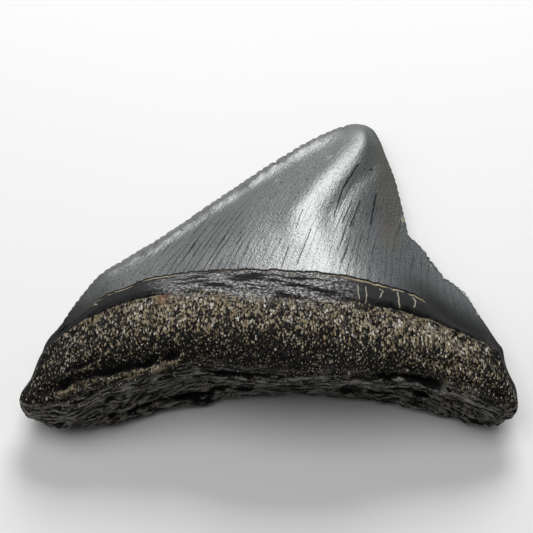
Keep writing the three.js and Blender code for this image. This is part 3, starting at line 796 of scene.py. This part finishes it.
class FossilShader(Shader):
    """The tooth's material, from the attributes of its skin."""

    def __init__(self, look):
        super().__init__("fossil_enamel_and_root")
        self.look = look
        _, self.enamel_line, self.root_line, self.fan = self.attribute("lines")
        _, self.across, self.shown, self.from_edge = self.attribute("grain")
        _, self.base, self.hollow, self.density = self.attribute("marks")
        _, self.nicks, self.tan_band, _ = self.attribute("spots")
        self.fibre = self.attribute("fibre")[0]
        self.place = self.node("ShaderNodeTexCoord", output="Object")
        self.along = self.times(self.parts(self.place)[0], 1 / MM)
        self.crooked = self.bent(self.place, 900.0, 0.35)
        self.mottle = self.noise(self.place, 260.0, 4.0, 0.6)
        self.ragged = self.noise(self.place, 1800.0, 3.0, 0.65)
        self.hair = self.streaks(self.fan, 3.0, 0.3)
        self.on_enamel = self.fade(self.enamel_line, -0.05, 0.05)
        self.on_root = self.fade(self.plus(self.root_line, self.swing(self.ragged, 3.6)), -0.8, 0.9)
        # The enamel's feet on both shoulders, which darken into the collar.
        shoulders = self.beside(-2.0, 16.0, 28.0)
        self.foot_shade = self.times(shoulders, self.fade(self.enamel_line, 9.0, 0.5))
        # The collar's grey glints, which come in bands in its middle: painted glints in its colour, where it
        # is also less rough and a little metallic.
        self.glint = self.streaks(self.across, 1.9, 3.2, 3.0, 0.75)
        self.bands = self.streaks(self.across, 0.16, 0.9, 2.0)
        self.centre = self.times(self.fade(self.along, -20.0, -9.0), self.fade(self.along, 14.5, 8.0))
        glints = self.times(self.fade(self.glint, 0.47, 0.6), self.fade(self.bands, 0.4, 0.56))
        self.glints = self.times(glints, self.centre)
        # The root's grains: how far inside a grain each place is, and the grain's own shade.
        faced = self.along_way(self.place, DOWN_THE_FACE), self.along_way(self.place, OUT_OF_THE_FACE)
        self.drawn_out = self.xyz(self.along, *faced)
        packed = self.vector_math("MULTIPLY_ADD", self.swirl(self.drawn_out, 2.4), (0.5,) * 3, self.drawn_out)
        off_grain = self.node("ShaderNodeTexVoronoi", output="Distance", inputs={
            "Vector": packed, "Scale": look.grains})
        self.shade, size, _ = self.parts(off_grain.node.outputs["Color"])
        clouds = self.swing(self.noise(self.place, 330.0, 2.0, 0.6), 2.0)
        wanted = self.plus(self.density, clouds, self.swing(size, 1.2))
        radius = self.plus(0.36, self.times(wanted, 0.18))
        self.above = self.minus(radius, off_grain)
        self.grains = self.fade(self.above, -0.04, 0.18)
        # The fibres of the root's base.
        stretched = self.vector_math("MULTIPLY", self.fibre, (0.45, 2.4, 2.4))
        self.streak = self.noise(stretched, 1.0, 4.0, 0.65)

    def beside(self, x, outer, inner):
        """1 within inner of the tooth's x and 0 beyond outer, or the other way round."""
        return self.fade(self.gap(self.along, x), outer, inner)

    def streaks(self, value, scale, down, detail=3.0, rough=0.55):
        """Noise along a value, and along the distance from the enamel's foot."""
        return self.noise(self.xyz(self.times(value, scale), self.times(self.enamel_line, down)),
                          1.0, detail, rough)

    def enamel(self):
        """Satin grey, darker to the right, partly its own tone and partly painted shade of the side turned
        from the light, and darker at its feet, with fine pinpricks, growth lines and cracks.
        """
        look = self.look
        pinprick = self.fade(self.noise(self.place, 2300.0, 2.0, 0.5), 0.6, 0.7)
        halo, growth_line = self.growth_lines()
        by_right_edge = self.beside(18.4, 2.2, 0.6)
        brown = self.times(by_right_edge, self.fade(self.enamel_line, 7.0, 11.0), 0.5)
        return self.painted(
            look.enamel_light,
            # Darker to the right: partly the enamel's own tone, partly painted shade of the side turned from
            # the light.
            (self.fade(self.along, 6.0, 21.0), look.enamel_dark),
            (self.times(self.fade(self.mottle, 0.5, 0.75), 0.3), look.enamel_dark),
            (self.times(self.fade(self.hair, 0.5, 0.7), 0.2), look.enamel_dark),
            (self.times(pinprick, 0.6), look.growth_line),
            (self.times(halo, 0.25), look.enamel_dark),
            (self.times(growth_line, 0.9), look.growth_line),
            (brown, look.brown_tint),
            (self.times(self.strokes(self.crooked, ENAMEL_CRACKS), 0.9), look.growth_line),
            (self.times(self.fade(self.from_edge, 0.4, 0.05), 0.6), look.growth_line),
            (self.fade(self.nicks, 0.12, 0.45), look.growth_line),
            (self.foot_shade, look.collar),
        )

    def growth_lines(self):
        """The halo and the dark of thin, broken lines, one a millimetre, that fan out from the tip."""
        wave = self.swing(self.streaks(self.fan, 0.4, 0.05), 3.0)
        phase = self.times(self.plus(self.fan, wave), self.look.growth_lines)
        off_line = self.gap(self.math("FRACT", phase), 0.5)
        number = self.math("FLOOR", phase)
        broken = self.streaks(number, 3.7, 0.16, 3.0, 0.6)
        reach = self.noise(self.xyz(self.times(number, 1.9), 4.0), 1.0, 0.0)
        height = self.minus(self.plus(4.0, self.times(reach, 24.0)), self.enamel_line)
        on_ridge = self.beside(3.5, 8.5, 5.0)
        kept = self.times(
            self.fade(broken, 0.32, 0.52),
            self.fade(height, -1.0, 5.0),
            self.fade(self.from_edge, 1.2, 4.0),
            self.mix_value(on_ridge, 1.0, 0.35),
            self.mix_value(self.fade(self.along, -20.0, -11.0), 0.12, 1.0),
            self.mix_value(self.fade(self.along, 11.0, 16.0), 1.0, 0.5),
        )
        halo = self.times(self.fade(off_line, 0.28, 0.0), kept)
        return halo, self.times(self.fade(off_line, 0.14, 0.03), kept)

    def collar(self):
        """Black and smooth, with painted grey glints and a painted grey sheen in its middle."""
        # Painted sheen: grey bands over the collar's middle.
        painted_sheen = self.times(self.centre, self.fade(self.bands, 0.4, 0.6), 0.35)
        return self.painted(
            self.look.collar, (painted_sheen, self.look.striation_and_collar_sheen), (self.glints, self.look.painted_sparkle))

    def root(self, tan):
        """Black, packed with grains of tan sediment, some with painted highlights, with the collar's painted
        glints at its top, a striated base and tan lips by its cracks.
        """
        look = self.look
        sand = self.painted(
            look.sediment,
            (self.fade(self.shade, 0.5, 0.85), look.sediment_pale),
            (self.fade(self.shade, 0.38, 0.1), look.root_brown),
            # Painted highlights on the palest grains.
            (self.times(self.fade(self.shade, 0.86, 0.96), 0.4), look.painted_sparkle),
        )
        # The collar's painted glints run on a little way into the root.
        painted_glint_run_on = self.times(self.glints, 0.6, self.fade(self.root_line, 3.6, 0.2))
        by_stain = self.beside(-14.6, 2.8, 0.5)
        stain = self.times(by_stain, self.fade(self.root_line, 4.5, 2.0), self.fade(self.mottle, 0.35, 0.65))
        fibres = self.mix(self.fade(self.streak, 0.44, 0.62), look.root, look.striation_and_collar_sheen)
        bare_base = self.times(self.base, self.minus(1.0, self.times(self.grains, 0.8)))
        crumbs = self.swing(self.noise(self.place, 1100.0, 3.0, 0.6), 5.0)
        tan_lips = self.fade(self.plus(self.times(self.tan_band, 0.72), crumbs), 0.5, 0.95)
        return self.painted(
            look.root,
            (self.fade(self.ragged, 0.5, 0.66), look.root_brown),
            (self.grains, sand),
            (painted_glint_run_on, look.painted_sparkle),
            (stain, look.stain),
            (bare_base, fibres),
            (self.times(tan_lips, self.fade(self.tan_band, 0.15, 0.5), 0.8), tan),
        )

    def seam(self, colour, tan):
        """The dark crack under the enamel, the thin tan lip below it, and the tan marks of the collar."""
        wander = self.swing(self.noise(self.place, 700.0, 2.0), 0.3)
        shoulders = self.beside(-1.0, 9.0, 14.0)
        rim = self.times(self.plus(self.enamel_line, wander), self.mix_value(shoulders, 1.0, 0.7))
        patchy = self.fade(self.noise(self.place, 420.0, 3.0), 0.36, 0.52)
        lip = self.times(patchy, self.shown, self.mix_value(shoulders, 0.6, 1.0), self.band(rim, -0.36, 0.28))
        marks = self.times(self.strokes(self.crooked, TAN_MARKS), self.fade(self.root_line, 0.6, 0.0), 0.85)
        return self.painted(
            colour,
            (self.times(self.band(rim, -0.05, 0.15), self.shown), self.look.growth_line),
            (lip, tan),
            (marks, self.look.sediment_pale),
        )

    def colour(self):
        tan = self.mix(self.fade(self.ragged, 0.46, 0.66), self.look.sediment, self.look.sediment_pale)
        colour = self.painted(
            self.collar(),
            (self.on_root, self.root(tan)),
            # Painted shade: the hollows of the furrows, the shoulder cracks and the base's splits are painted
            # black.
            (self.fade(self.hollow, 0.15, 0.5), self.look.root),
            (self.on_enamel, self.enamel()),
        )
        return self.seam(colour, tan)

    def roughness(self):
        """Satin enamel and collar, and a matt root where only the tips of the grains and fibres shine."""
        look = self.look
        grain = self.mix_value(self.fade(self.above, -0.12, 0.08), MATT, look.root_roughness)
        fibre = self.mix_value(self.fade(self.streak, 0.46, 0.62), MATT, look.root_roughness)
        collar = self.mix_value(self.glints, look.collar_roughness, 0.3)
        rough = self.mix_value(self.on_root, collar, self.mix_value(self.base, grain, fibre))
        rough = self.mix_value(self.fade(self.hollow, 0.2, 0.7), rough, 1.0)
        enamel = self.mix_value(self.foot_shade, look.enamel_roughness, look.collar_roughness)
        return self.mix_value(self.on_enamel, rough, enamel)

    def metallic(self):
        shine = self.mix_value(self.on_root, self.times(self.glints, 0.3), self.times(self.grains, 0.3))
        sheen = self.mix_value(self.foot_shade, self.look.enamel_metallic, 0.0)
        return self.mix_value(self.on_enamel, shine, sheen)

    def relief(self):
        """Height for the bump: fine enamel, sparkling collar, grains and fibres of the root."""
        bead = self.times(self.fade(self.above, -0.2, 0.25), 1.4)
        grit = self.times(self.noise(self.drawn_out, 3.2, 3.0, 0.6), 2.2)
        grain = self.plus(bead, grit, self.times(self.ragged, 1.6))
        fibre = self.plus(self.times(self.streak, 3.0), self.times(self.ragged, 1.2))
        collar = self.times(self.glint, self.mix_value(self.centre, 0.1, 4.0))
        fine = self.times(self.noise(self.place, 3000.0, 2.0, 0.6), 0.36)
        relief = self.mix_value(self.on_root, collar, self.mix_value(self.base, grain, fibre))
        return self.mix_value(self.on_enamel, relief, self.plus(fine, self.times(self.hair, 0.22)))


def fossil_material(look):
    s = FossilShader(look)
    s.link(s.surface.inputs["Base Color"], s.colour())
    s.link(s.surface.inputs["Roughness"], s.roughness())
    s.link(s.surface.inputs["Metallic"], s.metallic())
    bump = s.node("ShaderNodeBump", inputs={"Height": s.relief(), "Strength": 1.0, "Distance": BUMP_DEPTH})
    s.link(s.surface.inputs["Normal"], bump)
    s.surface.inputs["Specular IOR Level"].default_value = SPECULAR_LEVEL
    return s.material


def colour_prop(name, text, default):
    return FloatVectorProperty(name=name, description=text, default=default, subtype="COLOR", min=0, max=1)


def share_prop(name, text, default):
    return FloatProperty(name=name, description=text, default=default, min=0, max=1)


def power_prop(name, text, default):
    return FloatProperty(name=name, description=text, default=default, unit="POWER")


class FossilToothLook(bpy.types.PropertyGroup):
    """Colours and finishes of the tooth."""

    enamel_light: colour_prop("Enamel", "Grey of the crown", (0.181, 0.187, 0.183))
    # Also painted shade: the crown's right side is darkened with it.
    enamel_dark: colour_prop("Dark enamel", "Darker grey of the crown's right side", (0.11, 0.119, 0.119))
    growth_line: colour_prop("Growth lines", "Colour of the crown's fine cracks", (0.012, 0.013, 0.016))
    collar: colour_prop("Collar", "Black band between crown and root", (0.004, 0.0044, 0.0046))
    # Painted glints: this grey is painted where the collar and the root's grains glint.
    painted_sparkle: colour_prop("Collar sparkle", "Grey glints in the middle of the collar", (0.66, 0.66, 0.67))
    root: colour_prop("Root", "Black of the root", (0.0028, 0.0028, 0.0026))
    root_brown: colour_prop("Root, brown", "Brown black of the root's patches", (0.02, 0.0175, 0.014))
    # Also the painted sheen of the collar's middle.
    striation_and_collar_sheen: colour_prop("Striations", "Grey of the root's striated base", (0.205, 0.197, 0.175))
    sediment: colour_prop("Sediment", "Tan in the pores and cracks", (0.205, 0.16, 0.094))
    sediment_pale: colour_prop("Pale sediment", "Cream specks of the root", (0.32, 0.29, 0.212))
    stain: colour_prop("Stain", "Orange stain of the root", (0.20, 0.085, 0.028))
    brown_tint: colour_prop("Brown tint", "Warm grey by the crown's right edge", (0.13, 0.115, 0.09))
    growth_lines: FloatProperty(name="Growth lines", description="Lines per millimetre", default=0.9, min=0.1)
    grains: FloatProperty(name="Grains", description="Grains in a millimetre of root", default=3.3, min=0.1)
    enamel_metallic: share_prop("Enamel sheen", "Metallic share of the crown", 0.55)
    enamel_roughness: share_prop("Enamel roughness", "0 is a mirror", 0.36)
    collar_roughness: share_prop("Collar roughness", "0 is a mirror", 0.55)
    root_roughness: share_prop("Root roughness", "0 is a mirror", 0.28)


class FossilToothStage(bpy.types.PropertyGroup):
    """Floor, lights and camera."""

    floor: colour_prop("Floor", "Colour of the plain pale floor", (0.78, 0.78, 0.77))
    floor_size: FloatProperty(name="Floor size", description="Side of the floor", default=3.0, unit="LENGTH")
    key_power: power_prop("Key light", "Power of the main soft light", 2.9)
    top_power: power_prop("Top light", "Power of the light overhead", 1.8)
    fill_power: power_prop("Fill light", "Power of the left light", 0.4)
    world_light: FloatProperty(name="Room light", description="Brightness of the room", default=0.12, min=0)
    lens: FloatProperty(name="Lens", description="Focal length in millimetres", default=200.0, min=1)


class FOSSIL_OT_tooth(bpy.types.Operator):
    """Build the weathered tooth in the place of the CAD tooth"""

    bl_idname = "fossil.tooth"
    bl_label = "Add tooth"

    def execute(self, context):
        tooth = add_skin("fossil_tooth")
        tooth.data.materials.append(fossil_material(context.scene.fossil_look))
        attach(tooth, "root")
        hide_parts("tooth")
        return {"FINISHED"}


# The camera, in the guide lines' millimetres.
CAMERA_AIM = (-0.38, 24.6, 6.0)
CAMERA_DISTANCE = 446.0
CAMERA_ELEVATION = math.radians(60)
CAMERA_SENSOR = 36.0
# The soft lights: name, direction from the tooth, distance and size in metres.
LIGHTS = (
    ("key", (0.1, 0.80, 0.60), 0.55, 0.25),
    ("top", (-0.15, -0.02, 1.0), 0.6, 0.5),
    ("fill", (-0.8, 0.1, 0.6), 0.6, 0.35),
)
ROOM_COLOUR = (0.9, 0.93, 1.0, 1)
FLOOR_CLOUDS = 0.97
FLOOR_ROUGHNESS = 0.7


def area_light(name, direction, distance, size, power, aim):
    bpy.ops.object.light_add(type="AREA", location=(0, 0, 0))
    light = bpy.context.object
    light.name = name
    light.data.size = size
    light.data.energy = power
    light.location = aim + Vector(direction).normalized() * distance
    light.rotation_mode = "QUATERNION"
    light.rotation_quaternion = Vector(direction).normalized().to_track_quat("Z", "Y")
    return light


class FOSSIL_OT_stage(bpy.types.Operator):
    """Add the floor, the lights and the camera"""

    bl_idname = "fossil.stage"
    bl_label = "Add stage"

    def execute(self, context):
        stage = context.scene.fossil_stage
        bpy.ops.object.select_all(action="DESELECT")
        bpy.ops.mesh.primitive_plane_add(size=stage.floor_size)
        floor = context.object
        floor.name = "floor"
        s = Shader("floor_paint")
        cloudy = s.noise(s.node("ShaderNodeTexCoord", output="Object"), 6.0, 2.0)
        darker = tuple(c * FLOOR_CLOUDS for c in stage.floor)
        s.link(s.surface.inputs["Base Color"], s.mix(s.fade(cloudy, 0.2, 0.8), stage.floor, darker))
        s.surface.inputs["Roughness"].default_value = FLOOR_ROUGHNESS
        floor.data.materials.append(s.material)

        aim = (Vector(CAMERA_AIM) + SHIFT) * MM
        forward = Vector((0, math.cos(CAMERA_ELEVATION), -math.sin(CAMERA_ELEVATION)))
        bpy.ops.object.camera_add()
        camera = context.object
        camera.location = aim - forward * CAMERA_DISTANCE * MM
        camera.rotation_euler = (math.pi / 2 - CAMERA_ELEVATION, 0, 0)
        camera.data.lens = stage.lens
        camera.data.sensor_width = CAMERA_SENSOR
        camera.data.clip_start = 0.01
        context.scene.camera = camera

        powers = (stage.key_power, stage.top_power, stage.fill_power)
        for (name, direction, distance, size), power in zip(LIGHTS, powers):
            area_light(name, direction, distance, size, power, aim)
        world = context.scene.world or bpy.data.worlds.new("room")
        context.scene.world = world
        world.use_nodes = True
        background = world.node_tree.nodes["Background"]
        background.inputs["Color"].default_value = ROOM_COLOUR
        background.inputs["Strength"].default_value = stage.world_light
        context.scene.view_settings.view_transform = "Standard"
        return {"FINISHED"}


class FOSSIL_PT_panel(bpy.types.Panel):
    """The tooth and its stage in the 3D view's sidebar"""

    bl_label = "Fossil tooth"
    bl_idname = "FOSSIL_PT_panel"
    bl_space_type = "VIEW_3D"
    bl_region_type = "UI"
    bl_category = "Fossil"

    def draw(self, context):
        layout = self.layout
        for group, operator in (("fossil_look", "fossil.tooth"), ("fossil_stage", "fossil.stage")):
            settings = getattr(context.scene, group)
            for name in settings.__annotations__:
                layout.prop(settings, name)
            layout.operator(operator)


CLASSES = (FossilToothLook, FossilToothStage, FOSSIL_OT_tooth, FOSSIL_OT_stage, FOSSIL_PT_panel)


def register():
    for cls in CLASSES:
        bpy.utils.register_class(cls)
    bpy.types.Scene.fossil_look = PointerProperty(type=FossilToothLook)
    bpy.types.Scene.fossil_stage = PointerProperty(type=FossilToothStage)


def unregister():
    del bpy.types.Scene.fossil_look
    del bpy.types.Scene.fossil_stage
    for cls in reversed(CLASSES):
        bpy.utils.unregister_class(cls)


def main():
    register()
    bpy.ops.fossil.tooth()
    bpy.ops.fossil.stage()


if __name__ == "__main__":
    main()
